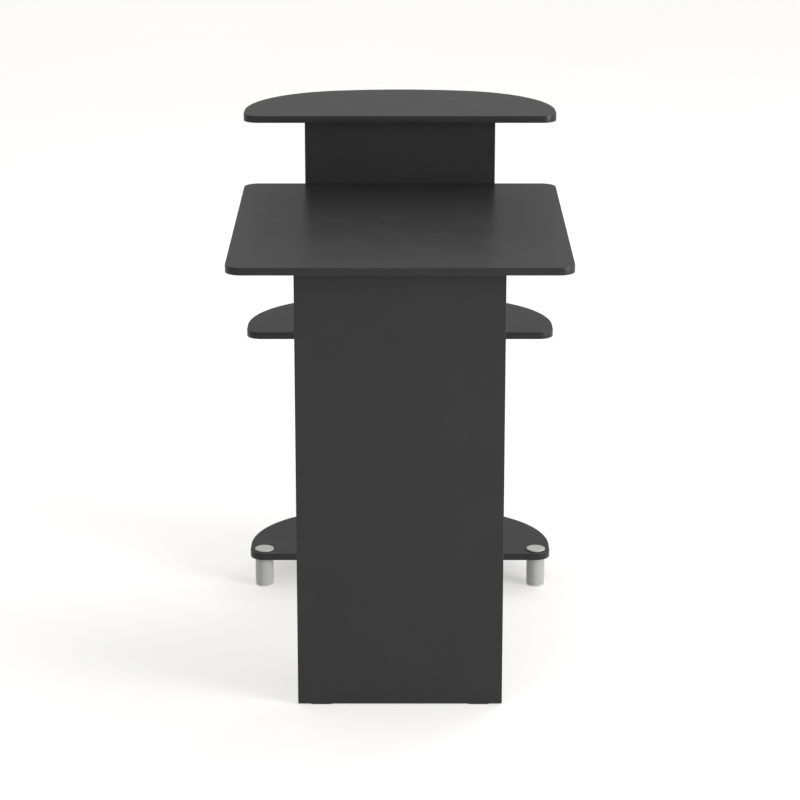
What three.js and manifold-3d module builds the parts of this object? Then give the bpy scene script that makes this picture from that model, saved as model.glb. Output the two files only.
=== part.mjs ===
// A computer desk with a sliding keyboard tray under the desktop and three D-shaped shelves at one end.
//
// Millimetres, +Z up, the floor at z = 0, the origin under the middle of the whole desk.
// +X runs along the desk, from the end panel to the apex of the shelves. The user sits on the -Y side.

import * as THREE from "three";
import { mergeVertices } from "three/addons/utils/BufferGeometryUtils.js";
import Module from "manifold-3d";

const wasm = await Module();
wasm.setup();

// ---------------------------------------------------------------- driving dimensions

const BOARD = 12; // thickness of every board
const EDGE_SOFTENING = 1; // rounding of a board's edges

const DESKTOP_LENGTH = 600;
const DESKTOP_WIDTH = 530;
const DESKTOP_TOP = 725; // heights are those of a board's upper face
const DESKTOP_CORNER = 25;

const TOP_SHELF_TOP = 848;
const MIDDLE_SHELF_TOP = 470;
const BOTTOM_SHELF_TOP = 65;
const SHELF_DEPTH = 250; // from the straight edge to the apex
const SHELF_LAP = 35; // how far the straight edges pass the centre panels' inner face
const SHELF_CORNER = 25;
const SHELF_SIDE_RADIUS = 190;
const SHELF_APEX_RADIUS = 550;
const SHELF_ARC_SEGMENTS = 7;

const PANEL_WIDTH = 324;
const PANEL_CORNER = 2;
const END_OVERHANG = 40; // desktop past the end panel
const MODESTY_HEIGHT = 225;

const GLIDE = { length: 36, width: 10, height: 1.5, spread: 125 };

const FOOT_RADIUS = 16;
const FOOT_WALL = 2;
const FOOT_SIDES = 24;
const FOOT_INSET = 24.5; // foot's axis from the edges of the bottom shelf
const FOOT_BASE = 3; // height of the plastic foot under the tube
const CAP_RADIUS = 16.5;
const CAP_HEIGHT = 2.5;
const CAP_ROUNDING = 1.2;
const PLUG_LENGTH = 12; // how far a cap's or base's plug goes into the tube

const TRAY_DEPTH = 300;
const TRAY_TOP = 638;
const TRAY_BACK_GAP = 5; // to the modesty panel
const TRAY_SIDE_GAP = 13; // room for one slide
const TRAY_CORNER = 12;

const SHEET = 1.25; // thickness of the slides' steel
const RAIL_LENGTH = 300;
const RAIL_SETBACK = 5; // outer rail from the panels' front edge
const CHANNEL_DEPTH = 10;
const CHANNEL_HEIGHT = 14.5; // inside the outer rail
const ROLLER_RADIUS = 7;
const ROLLER_WIDTH = 6.5;
const AXLE_RADIUS = 2.05;
const RUNNING_CLEARANCE = 0.1;
const ROLLER_INSET = 10; // roller's axis from its rail's end
const ROLLER_ROOM = 20; // length of rail cut away around a roller
const FRONT_ROLLER_OUT = 5.5; // middle of a roller from the slide's wall
const REAR_ROLLER_OUT = 6;
const INNER_FLANGE_OUT = 3; // edge of the inner rail's flange from the slide's wall
const INNER_LIP_OUT = 24; // edge of the lip that the tray is screwed to
const INNER_RAIL_SETBACK = 2; // inner rail from the tray's edges
const RIVET = { radius: 3.5, height: 0.75 };

const CAM = { radius: 5.7, height: 9.25, setback: 24, pocketRadius: 6, pocketDepth: 9.75 };
const CAM_MOUTH = { radius: 3.9, length: 12, out: 2.6 }; // the opening that takes the bolt's head
const BOLT = { reach: 8, channelRadius: 3.4, pilotRadius: 2.6, pilotDepth: 8.75 };
const DOWEL = { radius: 3.9, holeRadius: 4.2, inFace: 8, inEdge: 22 };
const CAM_SPREAD = 105; // cam joints of the panels, either side of the middle

const GAP = 0.25; // between pieces that touch and aren't flat boards
const CHAMFER = 1; // on the ends of dowels
const ROUND_SIDES = 16; // faces round a fitting

// ---------------------------------------------------------------- places that follow from them

const overallLength = DESKTOP_LENGTH - SHELF_LAP + SHELF_DEPTH;
const desktopEndX = -overallLength / 2;
const centreFaceX = desktopEndX + DESKTOP_LENGTH; // the centre panels' inner face
const centrePanelX = centreFaceX + BOARD / 2;
const shelfEdgeX = centreFaceX - SHELF_LAP;
const shelfApexX = shelfEdgeX + SHELF_DEPTH;
const endPanelX = desktopEndX + END_OVERHANG + BOARD / 2;
const endFaceX = endPanelX + BOARD / 2; // the end panel's inner face
const desktopUnderside = DESKTOP_TOP - BOARD;
const modestyY = (PANEL_WIDTH - BOARD) / 2;
const modestyZ = desktopUnderside - MODESTY_HEIGHT / 2;
const trayBackY = PANEL_WIDTH / 2 - BOARD - TRAY_BACK_GAP;
const trayFrontY = trayBackY - TRAY_DEPTH;
const trayUnderside = TRAY_TOP - BOARD;
const trayWidth = centreFaceX - endFaceX - 2 * TRAY_SIDE_GAP;

// ---------------------------------------------------------------- materials

function finish(colour, roughness, metalness) {
  return () => new THREE.MeshStandardMaterial({ color: colour, roughness, metalness });
}

const melamine = finish(0x3b3b3c, 0.45, 0);
const tubePlastic = finish(0xb9b8b5, 0.35, 0.2);
const capPlastic = finish(0x8f8f8d, 0.5, 0);
const glidePlastic = finish(0x1c1c1d, 0.6, 0);
const coatedSteel = finish(0x2a2a2c, 0.4, 0.6);
const nylon = finish(0xe4e2dc, 0.45, 0);
const zinc = finish(0xa7a9ad, 0.35, 0.9);
const beech = finish(0xc9a77c, 0.8, 0);

// ---------------------------------------------------------------- geometry helpers

const X = new THREE.Vector3(1, 0, 0);
const Y = new THREE.Vector3(0, 1, 0);
const Z = new THREE.Vector3(0, 0, 1);

function solidOf(geometry) {
  const bare = geometry.clone();
  bare.deleteAttribute("normal");
  bare.deleteAttribute("uv");
  const merged = mergeVertices(bare, 1e-4);
  const index = merged.index.array;
  const triangles = [];
  for (let i = 0; i < index.length; i += 3) {
    const [a, b, c] = index.slice(i, i + 3);
    if (a !== b && b !== c && c !== a) triangles.push(a, b, c);
  }
  return new wasm.Manifold(new wasm.Mesh({
    numProp: 3,
    vertProperties: Float32Array.from(merged.attributes.position.array),
    triVerts: Uint32Array.from(triangles),
  }));
}

function geometryOf(solid) {
  const mesh = solid.getMesh();
  const geometry = new THREE.BufferGeometry();
  geometry.setAttribute("position", new THREE.BufferAttribute(mesh.vertProperties, 3));
  geometry.setIndex(new THREE.BufferAttribute(mesh.triVerts, 1));
  return geometry;
}

function without(geometry, tools) {
  let solid = solidOf(geometry);
  for (const tool of tools) solid = solid.subtract(solidOf(tool));
  return geometryOf(solid);
}

// Turns a geometry made along +Z so that it runs along another axis.
function pointed(geometry, direction) {
  return geometry.applyQuaternion(new THREE.Quaternion().setFromUnitVectors(Z, direction));
}

// A solid of revolution about +Z from [radius, height] pairs.
function turned(profile, sides) {
  const points = profile.map(([radius, height]) => new THREE.Vector2(radius, height));
  return new THREE.LatheGeometry(points, sides).rotateX(Math.PI / 2);
}

// A ring about +Z with softened rims, as a tube or a roller.
function ring(inner, outer, low, high, softening, sides) {
  return turned([
    [inner, low],
    [outer - softening, low],
    [outer, low + softening],
    [outer, high - softening],
    [outer - softening, high],
    [inner, high],
    [inner, low],
  ], sides);
}

function roundedRectangle(width, height, radius) {
  const [w, h] = [width / 2 - radius, height / 2 - radius];
  const shape = new THREE.Shape();
  shape.absarc(w, h, radius, 0, Math.PI / 2);
  shape.absarc(-w, h, radius, Math.PI / 2, Math.PI);
  shape.absarc(-w, -h, radius, Math.PI, 1.5 * Math.PI);
  shape.absarc(w, -h, radius, 1.5 * Math.PI, 2 * Math.PI);
  return shape;
}

// The shelves' plan: a straight edge on x = 0, tight front corners, and a side arc on each side that runs
// smoothly into the flatter arc of the apex.
function shelfOutline() {
  const halfWidth = DESKTOP_WIDTH / 2;
  const sideY = halfWidth - SHELF_SIDE_RADIUS;
  const apexX = SHELF_DEPTH - SHELF_APEX_RADIUS;
  const between = SHELF_APEX_RADIUS - SHELF_SIDE_RADIUS;
  const sideX = apexX + Math.sqrt(between ** 2 - sideY ** 2);
  const join = Math.asin(sideY / between);
  const corner = SHELF_CORNER;
  const shape = new THREE.Shape();
  shape.absarc(corner, corner - halfWidth, corner, Math.PI, 1.5 * Math.PI);
  shape.absarc(sideX, -sideY, SHELF_SIDE_RADIUS, -Math.PI / 2, -join);
  shape.absarc(apexX, 0, SHELF_APEX_RADIUS, -join, join);
  shape.absarc(sideX, sideY, SHELF_SIDE_RADIUS, join, Math.PI / 2);
  shape.absarc(corner, halfWidth - corner, corner, Math.PI / 2, Math.PI);
  return shape;
}

// A board of the given plan, lying flat, with its middle on z = 0 and its edges softened.
function boardFrom(shape, curveSegments) {
  return new THREE.ExtrudeGeometry(shape, {
    depth: BOARD - 2 * EDGE_SOFTENING,
    bevelThickness: EDGE_SOFTENING,
    bevelSize: EDGE_SOFTENING,
    bevelOffset: -EDGE_SOFTENING,
    bevelSegments: 1,
    curveSegments,
  }).translate(0, 0, EDGE_SOFTENING - BOARD / 2);
}

const toUprightAlongY = new THREE.Matrix4().makeBasis(Y, Z, X); // thickness along X
const toUprightAlongX = new THREE.Matrix4().makeBasis(X.clone().negate(), Z, Y); // thickness along Y

function rectangularBoard(length, width, corner = PANEL_CORNER) {
  const curveSegments = corner === PANEL_CORNER ? 1 : 4;
  return boardFrom(roundedRectangle(length, width, corner), curveSegments);
}

// ---------------------------------------------------------------- the model and its drillings

const desk = new THREE.Group();
const drillings = {}; // board name to its holes, as { start, direction, radius, depth } in the desk's frame

function add(name, geometry, material, position = new THREE.Vector3()) {
  const mesh = new THREE.Mesh(geometry, material());
  mesh.name = name;
  mesh.position.copy(position);
  desk.add(mesh);
  return mesh;
}

function drill(board, start, direction, radius, depth) {
  drillings[board] ??= [];
  drillings[board].push({ start, direction, radius, depth });
}

function drillBit({ start, direction, radius, depth }, origin) {
  const lead = 1; // the bit starts outside the face
  const sides = radius < 4 ? 8 : ROUND_SIDES;
  const bit = new THREE.CylinderGeometry(radius, radius, depth + lead, sides).rotateX(Math.PI / 2);
  const middle = start.clone().addScaledVector(direction, (depth - lead) / 2).sub(origin);
  return pointed(bit, direction).translate(middle.x, middle.y, middle.z);
}

function addBoard(name, geometry, x, y, z) {
  const position = new THREE.Vector3(x, y, z);
  const bits = (drillings[name] ?? []).map((hole) => drillBit(hole, position));
  add(name, without(geometry, bits), melamine, position);
}

// ---------------------------------------------------------------- cam joints

// A zinc cam: its head looks along +Z and lies on z = 0, and the bolt comes in from +X at half the board.
function camGeometry() {
  const { radius, height } = CAM;
  const body = turned([
    [0, -height - GAP],
    [radius, -height - GAP],
    [radius, -1],
    [radius - 0.5, -GAP],
    [0, -GAP],
  ], 12);
  const { radius: mouthRadius, length, out } = CAM_MOUTH;
  const mouth = new THREE.CylinderGeometry(mouthRadius, mouthRadius, length, 12).rotateX(Math.PI / 2);
  return without(body, [pointed(mouth, X).translate(out, 0, -BOARD / 2)]);
}

// The half of a bolt that a cam holds, from its head at height 0 to the neck and shank.
const boltHead = [[0, -2.4], [2.6, -2.4], [3.2, -1.7], [3.2, 0.9], [1.9, 1.7], [1.9, 4.6], [2.6, 5.3]];

function boltGeometry() {
  const edge = CAM.setback;
  const tip = edge + BOLT.reach;
  return turned([...boltHead, [2.6, edge - 0.6], [2.2, edge - 0.2], [2.2, tip - 0.6], [0, tip]], 8);
}

function doubleBoltGeometry() {
  const half = CAM.setback + BOARD / 2;
  const lower = boltHead.map(([radius, height]) => [radius, height - half]);
  const upper = lower.map(([radius, height]) => [radius, -height]).reverse();
  return turned([...lower, ...upper], 8);
}

// Places a cam in a board's face. meet is where the bolt's axis crosses the joint between the two boards.
function addCam(name, board, meet, bolt, face) {
  const centre = meet.clone().addScaledVector(bolt, -CAM.setback);
  const head = centre.clone().addScaledVector(face, BOARD / 2);
  const mesh = add(name, camGeometry(), zinc, head);
  const across = new THREE.Vector3().crossVectors(face, bolt);
  mesh.quaternion.setFromRotationMatrix(new THREE.Matrix4().makeBasis(bolt, across, face));
  drill(board, head, face.clone().negate(), CAM.pocketRadius, CAM.pocketDepth);
  drill(board, meet, bolt.clone().negate(), BOLT.channelRadius, CAM.setback);
  return centre;
}

function camJoint(name, board, mate, meet, bolt, face) {
  const centre = addCam(`cam_${name}`, board, meet, bolt, face);
  add(`bolt_${name}`, pointed(boltGeometry(), bolt), zinc, centre);
  drill(mate, meet, bolt, BOLT.pilotRadius, BOLT.pilotDepth);
}

const UP = Z;
const DOWN = Z.clone().negate();
const SIDES = [["front", -1], ["back", 1]];

function addPanelJoints() {
  for (const [side, sign] of SIDES) {
    const y = sign * CAM_SPREAD;
    const onEnd = new THREE.Vector3(endPanelX, y, desktopUnderside);
    const onCentre = new THREE.Vector3(centreFaceX, y, DESKTOP_TOP - BOARD / 2);
    const underTop = new THREE.Vector3(centrePanelX, y, TOP_SHELF_TOP - BOARD);
    const overMiddle = new THREE.Vector3(centrePanelX, y, MIDDLE_SHELF_TOP);
    const underMiddle = new THREE.Vector3(centrePanelX, y, MIDDLE_SHELF_TOP - BOARD);
    const overBottom = new THREE.Vector3(centrePanelX, y, BOTTOM_SHELF_TOP);
    camJoint(`end_panel_${side}`, "end_panel", "desktop", onEnd, UP, X);
    camJoint(`desktop_${side}`, "desktop", "upper_centre_panel", onCentre, X, DOWN);
    camJoint(`top_shelf_${side}`, "upper_centre_panel", "top_shelf", underTop, UP, X);
    camJoint(`bottom_shelf_${side}`, "lower_centre_panel", "bottom_shelf", overBottom, DOWN, X);
    addCam(`cam_middle_upper_${side}`, "upper_centre_panel", overMiddle, DOWN, X);
    addCam(`cam_middle_lower_${side}`, "lower_centre_panel", underMiddle, UP, X);
    drill("middle_shelf", overMiddle, DOWN, BOLT.channelRadius, BOARD + 1);
    const middle = new THREE.Vector3(centrePanelX, y, MIDDLE_SHELF_TOP - BOARD / 2);
    add(`bolt_middle_shelf_${side}`, doubleBoltGeometry(), zinc, middle);
  }
}

function addModestyJoints() {
  const camDrop = MODESTY_HEIGHT / 5;
  const ends = [
    ["end", endFaceX, "end_panel", X.clone().negate()],
    ["centre", centreFaceX, "upper_centre_panel", X],
  ];
  for (const [end, x, mate, outward] of ends) {
    const camMeet = new THREE.Vector3(x, modestyY, modestyZ - camDrop);
    camJoint(`modesty_${end}`, "modesty_panel", mate, camMeet, outward, Y);
    const dowelMeet = new THREE.Vector3(x, modestyY, modestyZ + camDrop);
    const { radius, inFace, inEdge, holeRadius } = DOWEL;
    const dowel = turned([
      [0, -inEdge],
      [radius - CHAMFER, -inEdge],
      [radius, CHAMFER - inEdge],
      [radius, inFace - CHAMFER],
      [radius - CHAMFER, inFace],
      [0, inFace],
    ], ROUND_SIDES);
    add(`dowel_modesty_${end}`, pointed(dowel, outward), beech, dowelMeet);
    drill(mate, dowelMeet, outward, holeRadius, inFace + 2 * GAP);
    drill("modesty_panel", dowelMeet, outward.clone().negate(), holeRadius, inEdge + 4 * GAP);
  }
}

// ---------------------------------------------------------------- feet and glides

function addFoot(name, x, y) {
  const inner = FOOT_RADIUS - FOOT_WALL;
  const plug = inner - 0.4;
  const shelfUnderside = BOTTOM_SHELF_TOP - BOARD;
  const foot = new THREE.Vector3(x, y, 0);
  add(`foot_base_${name}`, turned([
    [0, 0],
    [FOOT_RADIUS - 1.5, 0],
    [FOOT_RADIUS - 0.5, 0.75],
    [FOOT_RADIUS - 0.5, FOOT_BASE - GAP],
    [plug, FOOT_BASE - GAP],
    [plug, FOOT_BASE + PLUG_LENGTH],
    [0, FOOT_BASE + PLUG_LENGTH],
  ], FOOT_SIDES), capPlastic, foot);
  const tube = ring(inner, FOOT_RADIUS, FOOT_BASE, shelfUnderside - GAP, 0.3, FOOT_SIDES);
  add(`foot_tube_${name}`, tube, tubePlastic, foot);
  const capBase = BOTTOM_SHELF_TOP + GAP;
  add(`foot_cap_${name}`, turned([
    [0, shelfUnderside - PLUG_LENGTH],
    [plug, shelfUnderside - PLUG_LENGTH],
    [plug, capBase],
    [CAP_RADIUS, capBase],
    [CAP_RADIUS, capBase + CAP_HEIGHT - CAP_ROUNDING],
    [CAP_RADIUS - CAP_ROUNDING, capBase + CAP_HEIGHT],
    [0, capBase + CAP_HEIGHT],
  ], FOOT_SIDES), capPlastic, foot);
  drill("bottom_shelf", new THREE.Vector3(x, y, BOTTOM_SHELF_TOP), DOWN, inner + GAP, BOARD + 1);
}

function addFeet() {
  const sideY = DESKTOP_WIDTH / 2 - FOOT_INSET;
  addFoot("front", shelfEdgeX + FOOT_INSET, -sideY);
  addFoot("back", shelfEdgeX + FOOT_INSET, sideY);
  addFoot("apex", shelfApexX - FOOT_INSET, 0);
}

function addGlides() {
  for (const [side, sign] of SIDES) {
    const softening = 0.75;
    const outline = roundedRectangle(GLIDE.width, GLIDE.length, GLIDE.width / 2 - 0.25);
    const glide = new THREE.ExtrudeGeometry(outline, {
      depth: GLIDE.height - GAP - softening,
      bevelThickness: softening,
      bevelSize: softening,
      bevelOffset: -softening,
      bevelSegments: 1,
      curveSegments: 2,
    });
    const lower = glide.translate(0, 0, softening);
    const trimmed = without(lower, [topTrim(GLIDE.height - GAP)]);
    add(`end_glide_${side}`, trimmed, glidePlastic, new THREE.Vector3(endPanelX, sign * GLIDE.spread, 0));
  }
}

// Everything above a height, as a block to cut away.
function topTrim(height) {
  const block = 100;
  return new THREE.BoxGeometry(block, block, block).translate(0, 0, height + block / 2);
}

// ---------------------------------------------------------------- keyboard slides

// Heights inside a slide, from the tray's underside.
const flangeUnderside = 12.5;
const rearAxleZ = trayUnderside + CHANNEL_HEIGHT / 2;
const frontAxleZ = trayUnderside + flangeUnderside - GAP - ROLLER_RADIUS;
const outerRailFront = -PANEL_WIDTH / 2 + RAIL_SETBACK;
const innerRailFront = trayFrontY + INNER_RAIL_SETBACK;
const innerRailLength = TRAY_DEPTH - 2 * INNER_RAIL_SETBACK;
const frontAxleY = outerRailFront + ROLLER_INSET;
const rearAxleY = innerRailFront + innerRailLength - ROLLER_INSET;

// A rail from its section, given as [distance from the wall, height above the tray's underside] pairs.
// towards is +1 where the wall's face looks along +X and -1 where it looks along -X.
function railGeometry(section, towards, front, length) {
  const points = section.map(([out, up]) => new THREE.Vector2(towards * out, up));
  const rail = new THREE.ExtrudeGeometry(new THREE.Shape(points), { depth: length, bevelEnabled: false });
  return rail.rotateX(Math.PI / 2).translate(0, front + length, 0);
}

function slideBlock(towards, [outLow, outHigh], [yLow, yHigh], [upLow, upHigh]) {
  const block = new THREE.BoxGeometry(outHigh - outLow, yHigh - yLow, upHigh - upLow);
  return block.translate(towards * (outLow + outHigh) / 2, (yLow + yHigh) / 2, (upLow + upHigh) / 2);
}

function axleHole(towards, y, up) {
  const radius = AXLE_RADIUS + RUNNING_CLEARANCE;
  const hole = new THREE.CylinderGeometry(radius, radius, 40, 16).rotateX(Math.PI / 2);
  return pointed(hole, X).translate(0, y, up);
}

function outerRail(towards) {
  const top = CHANNEL_HEIGHT + SHEET;
  const section = [
    [0, -SHEET],
    [CHANNEL_DEPTH, -SHEET],
    [CHANNEL_DEPTH, 0],
    [SHEET, 0],
    [SHEET, CHANNEL_HEIGHT],
    [CHANNEL_DEPTH, CHANNEL_HEIGHT],
    [CHANNEL_DEPTH, top],
    [0, top],
  ];
  const rail = railGeometry(section, towards, outerRailFront, RAIL_LENGTH);
  const frontEnd = [outerRailFront - 1, outerRailFront + ROLLER_ROOM];
  const lowerFlange = slideBlock(towards, [SHEET, CHANNEL_DEPTH + 1], frontEnd, [-SHEET - 1, 1]);
  return without(rail, [lowerFlange, axleHole(towards, frontAxleY, frontAxleZ - trayUnderside)]);
}

function innerRail(towards) {
  const webIn = TRAY_SIDE_GAP - SHEET;
  const top = flangeUnderside + SHEET;
  const section = [
    [INNER_LIP_OUT, -SHEET],
    [INNER_LIP_OUT, 0],
    [TRAY_SIDE_GAP, 0],
    [TRAY_SIDE_GAP, top],
    [INNER_FLANGE_OUT, top],
    [INNER_FLANGE_OUT, flangeUnderside],
    [webIn, flangeUnderside],
    [webIn, -SHEET],
  ];
  const rail = railGeometry(section, towards, innerRailFront, innerRailLength);
  const rear = innerRailFront + innerRailLength;
  const rearEnd = [rear - ROLLER_ROOM, rear + 1];
  const flange = slideBlock(towards, [1, webIn], rearEnd, [flangeUnderside - 1, top + 1]);
  return without(rail, [flange, axleHole(towards, rearAxleY, rearAxleZ - trayUnderside)]);
}

// An axle with its head past the roller and its shank riveted into the rail's web.
function axleGeometry(shankLength) {
  return turned([
    [0, 0],
    [AXLE_RADIUS, 0],
    [AXLE_RADIUS, shankLength],
    [RIVET.radius, shankLength],
    [RIVET.radius, shankLength + RIVET.height],
    [0, shankLength + RIVET.height],
  ], 12);
}

function addSlide(end, wallX, towards) {
  const wall = new THREE.Vector3(wallX, 0, trayUnderside);
  add(`outer_rail_${end}`, outerRail(towards), coatedSteel, wall);
  add(`inner_rail_${end}`, innerRail(towards), coatedSteel, wall);

  const out = X.clone().multiplyScalar(towards);
  const back = out.clone().negate();
  const bore = AXLE_RADIUS + RUNNING_CLEARANCE;
  const half = ROLLER_WIDTH / 2;
  const roller = ring(bore, ROLLER_RADIUS, -half, half, 0.5, ROUND_SIDES);
  const rollers = [
    ["front", FRONT_ROLLER_OUT, frontAxleY, frontAxleZ, out, 0],
    ["rear", REAR_ROLLER_OUT, rearAxleY, rearAxleZ, back, TRAY_SIDE_GAP],
  ];
  for (const [place, rollerOut, y, z, axleWay, webOut] of rollers) {
    const centre = new THREE.Vector3(wallX + towards * rollerOut, y, z);
    add(`${place}_roller_${end}`, pointed(roller.clone(), X), nylon, centre);
    const shankLength = Math.abs(rollerOut - webOut) + half + GAP;
    const root = new THREE.Vector3(wallX + towards * webOut, y, z);
    add(`${place}_axle_${end}`, pointed(axleGeometry(shankLength), axleWay), zinc, root);
  }
}

// ---------------------------------------------------------------- assembly

addPanelJoints();
addModestyJoints();
addFeet();
addGlides();
addSlide("end", endFaceX, 1);
addSlide("centre", centreFaceX, -1);

function addUpright(name, x, low, high) {
  const geometry = rectangularBoard(PANEL_WIDTH, high - low).applyMatrix4(toUprightAlongY);
  addBoard(name, geometry, x, 0, (low + high) / 2);
}

addUpright("end_panel", endPanelX, GLIDE.height, desktopUnderside);
addUpright("upper_centre_panel", centrePanelX, MIDDLE_SHELF_TOP, TOP_SHELF_TOP - BOARD);
addUpright("lower_centre_panel", centrePanelX, BOTTOM_SHELF_TOP, MIDDLE_SHELF_TOP - BOARD);

const desktopPlan = rectangularBoard(DESKTOP_LENGTH, DESKTOP_WIDTH, DESKTOP_CORNER);
addBoard("desktop", desktopPlan, (desktopEndX + centreFaceX) / 2, 0, DESKTOP_TOP - BOARD / 2);

const modestyPlan = rectangularBoard(centreFaceX - endFaceX, MODESTY_HEIGHT).applyMatrix4(toUprightAlongX);
addBoard("modesty_panel", modestyPlan, (endFaceX + centreFaceX) / 2, modestyY, modestyZ);

const trayPlan = rectangularBoard(trayWidth, TRAY_DEPTH, TRAY_CORNER);
const trayX = (endFaceX + centreFaceX) / 2;
addBoard("keyboard_tray", trayPlan, trayX, (trayFrontY + trayBackY) / 2, TRAY_TOP - BOARD / 2);

const shelves = [["top", TOP_SHELF_TOP], ["middle", MIDDLE_SHELF_TOP], ["bottom", BOTTOM_SHELF_TOP]];
for (const [level, top] of shelves) {
  addBoard(`${level}_shelf`, boardFrom(shelfOutline(), SHELF_ARC_SEGMENTS), shelfEdgeX, 0, top - BOARD / 2);
}

export default desk;
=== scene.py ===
"""The computer desk's looks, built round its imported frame.

Metres, +Z up. The camera looks along +X, at the desk's end panel, and the user's side is -Y.
"""

import math

import bmesh
import bpy
from mathutils import Matrix, Vector


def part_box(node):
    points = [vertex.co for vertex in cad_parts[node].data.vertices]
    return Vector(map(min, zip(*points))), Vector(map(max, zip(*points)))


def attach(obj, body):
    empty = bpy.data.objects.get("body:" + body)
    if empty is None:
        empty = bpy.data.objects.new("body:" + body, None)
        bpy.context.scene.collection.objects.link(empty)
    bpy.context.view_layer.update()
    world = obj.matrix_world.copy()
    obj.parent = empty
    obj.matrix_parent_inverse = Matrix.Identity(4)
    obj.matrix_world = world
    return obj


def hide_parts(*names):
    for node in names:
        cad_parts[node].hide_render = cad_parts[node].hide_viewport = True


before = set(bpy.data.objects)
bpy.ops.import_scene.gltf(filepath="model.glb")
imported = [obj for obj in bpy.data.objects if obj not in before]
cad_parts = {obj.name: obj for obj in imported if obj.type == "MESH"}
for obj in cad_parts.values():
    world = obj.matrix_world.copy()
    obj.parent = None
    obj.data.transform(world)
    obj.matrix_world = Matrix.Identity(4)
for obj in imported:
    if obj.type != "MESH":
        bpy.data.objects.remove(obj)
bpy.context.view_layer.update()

MM = 0.001
X_AXIS = Vector((1, 0, 0))
Z_AXIS = Vector((0, 0, 1))

# ---------------------------------------------------------------- driving values

SHELF_CORNER = 25 * MM
SHELF_SIDE_RADIUS = 190 * MM
SHELF_APEX_RADIUS = 550 * MM
DESKTOP_CORNER = 25 * MM
TRAY_CORNER = 12 * MM
PANEL_CORNER = 2 * MM

BAND_THICKNESS = 1.2 * MM  # edge band round every board
BAND_ROUNDING = 1.0 * MM
BAND_ROUNDING_STEPS = 5
BAND_SEAM = 0.05 * MM  # gap between the band and the board's core
CORE_CHAMFER = 0.12 * MM
SNUG = 0.05 * MM  # gap between pieces that look as if they touch

CUT_PAST = 1 * MM  # how far a cut goes past the far side of what it cuts
CAM_SETBACK = 24 * MM  # cam's centre from the joint
CAM_POCKET_RADIUS = 6 * MM
CAM_POCKET_DEPTH = 9.75 * MM
BOLT_CHANNEL_RADIUS = 3.4 * MM
PILOT_RADIUS = 2.6 * MM
PILOT_DEPTH = 8.75 * MM
CAM_SINKING = 0.25 * MM  # packed cam's head below the board's face
DOWEL_HOLE_RADIUS = 4.2 * MM
DOWEL_HOLE_DEPTHS = (23 * MM, 8.5 * MM)  # in the modesty panel's end, and in its mate's face
FOOT_HOLE_RADIUS = 14.25 * MM

CAMERA_X = -4466 * MM
CAMERA_Z = 1734 * MM
CAMERA_TILT = math.radians(16.68)  # below the horizon
CAMERA_LENS = 125.1
CAMERA_SENSOR = 36

FLOOR_HALF = 14
FLOOR_GLOW = 1.1  # of the floor's own colour, to lift its shadows

LIGHTS = {  # place, target, diameter, watts
    "key": ((-2.1, -3.7, 1.2), (0, 0, 0.3), 2.2, 190),
    "fill": ((-4.6, 0.9, 2.4), (0, 0, 0.5), 2.4, 20),
    "far_fill": ((2.8, -2.4, 3.4), (0, 0, 0.4), 2.4, 45),
}


# ---------------------------------------------------------------- node helpers


def shader_material(name, roughness=0.5, ior=1.45, metallic=0.0, coat=0.0, coat_roughness=0.1):
    """A new material with a Principled shader. Uniform values sit on the shader's own sockets."""
    material = bpy.data.materials.new(name)
    material.use_nodes = True
    shader = material.node_tree.nodes["Principled BSDF"]
    shader.inputs["Roughness"].default_value = roughness
    shader.inputs["IOR"].default_value = ior
    shader.inputs["Metallic"].default_value = metallic
    shader.inputs["Coat Weight"].default_value = coat
    shader.inputs["Coat Roughness"].default_value = coat_roughness
    return material


def node(material, kind, **values):
    """A new node in a material or world. Values name its sockets, or its settings."""
    made = material.node_tree.nodes.new(kind)
    for key, value in values.items():
        socket = made.inputs.get(key.replace("_", " "))
        if socket is not None:
            socket.default_value = value
        else:
            setattr(made, key, value)
    return made


def link(material, source, output, target, socket):
    material.node_tree.links.new(source.outputs[output], target.inputs[socket])


def object_coordinates(material, scale=(1, 1, 1)):
    """Object coordinates, stretched by scale."""
    place = node(material, "ShaderNodeTexCoord")
    mapping = node(material, "ShaderNodeMapping", Scale=scale)
    link(material, place, "Object", mapping, "Vector")
    return mapping


def noise(material, coordinates, scale, detail=3.0, roughness=0.55):
    made = node(material, "ShaderNodeTexNoise", Scale=scale, Detail=detail, Roughness=roughness)
    link(material, coordinates, "Vector", made, "Vector")
    return made


def ramp(material, source, output, stops):
    """A colour ramp whose stops are (position, (r, g, b)) or (position, grey)."""
    made = node(material, "ShaderNodeValToRGB")
    elements = made.color_ramp.elements
    while len(elements) < len(stops):
        elements.new(0.5)
    for element, (position, colour) in zip(elements, stops):
        element.position = position
        red, green, blue = colour if isinstance(colour, tuple) else (colour,) * 3
        element.color = (red, green, blue, 1)
    link(material, source, output, made, "Fac")
    return made


def scaled(material, source, output, low, high):
    """Maps a 0 to 1 value onto low to high."""
    made = node(material, "ShaderNodeMapRange", To_Min=low, To_Max=high)
    link(material, source, output, made, "Value")
    return made


def multiply(material, first, second):
    """The product of two ramps' colours."""
    made = node(material, "ShaderNodeMix", data_type="RGBA", blend_type="MULTIPLY", Factor=1.0)
    link(material, first, "Color", made, "A")
    link(material, second, "Color", made, "B")
    return made


def to_shader(material, source, output, socket):
    shader = material.node_tree.nodes["Principled BSDF"]
    link(material, source, output, shader, socket)


def bumped(material, layers):
    """Stacks bumps from (height node, output, distance, strength) layers onto the shader's normal."""
    previous = None
    for source, output, distance, strength in layers:
        bump = node(material, "ShaderNodeBump", Strength=strength, Distance=distance)
        link(material, source, output, bump, "Height")
        if previous is not None:
            link(material, previous, "Normal", bump, "Normal")
        previous = bump
    to_shader(material, previous, "Normal", "Normal")


# ---------------------------------------------------------------- materials


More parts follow.
